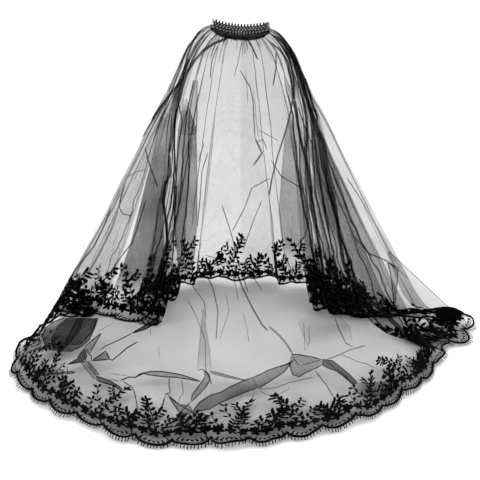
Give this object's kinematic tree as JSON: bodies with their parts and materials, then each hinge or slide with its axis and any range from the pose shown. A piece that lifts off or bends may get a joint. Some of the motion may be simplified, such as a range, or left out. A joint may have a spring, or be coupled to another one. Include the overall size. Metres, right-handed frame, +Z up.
{
  "type": "mantilla veil",
  "caption": "Sheer tulle veil gathered onto a curved hair comb, falling in folds all round to a scalloped, pierced lace edging that spreads out in front.",
  "frame": {"origin": "the middle of the underside of the comb's bar, at the roots of its teeth, where the comb sits on the crown", "axes": "+Z up, the comb's teeth point to +Y (the back of the head), the long front of the cloth lies towards -Y"},
  "size_m": [0.7458, 0.5663, 0.5013],
  "materials": {
    "comb_plastic": "satin black",
    "winding_thread": "matt black thread",
    "tulle": "sheer black net",
    "lace": "matt black lace"
  },
  "bodies": {
    "root": {"hair_comb": "comb_plastic", "thread_winding": "winding_thread", "gathered_heading": "tulle", "tulle_drape": "tulle", "lace_edging": "lace"}
  },
  "joints": []
}
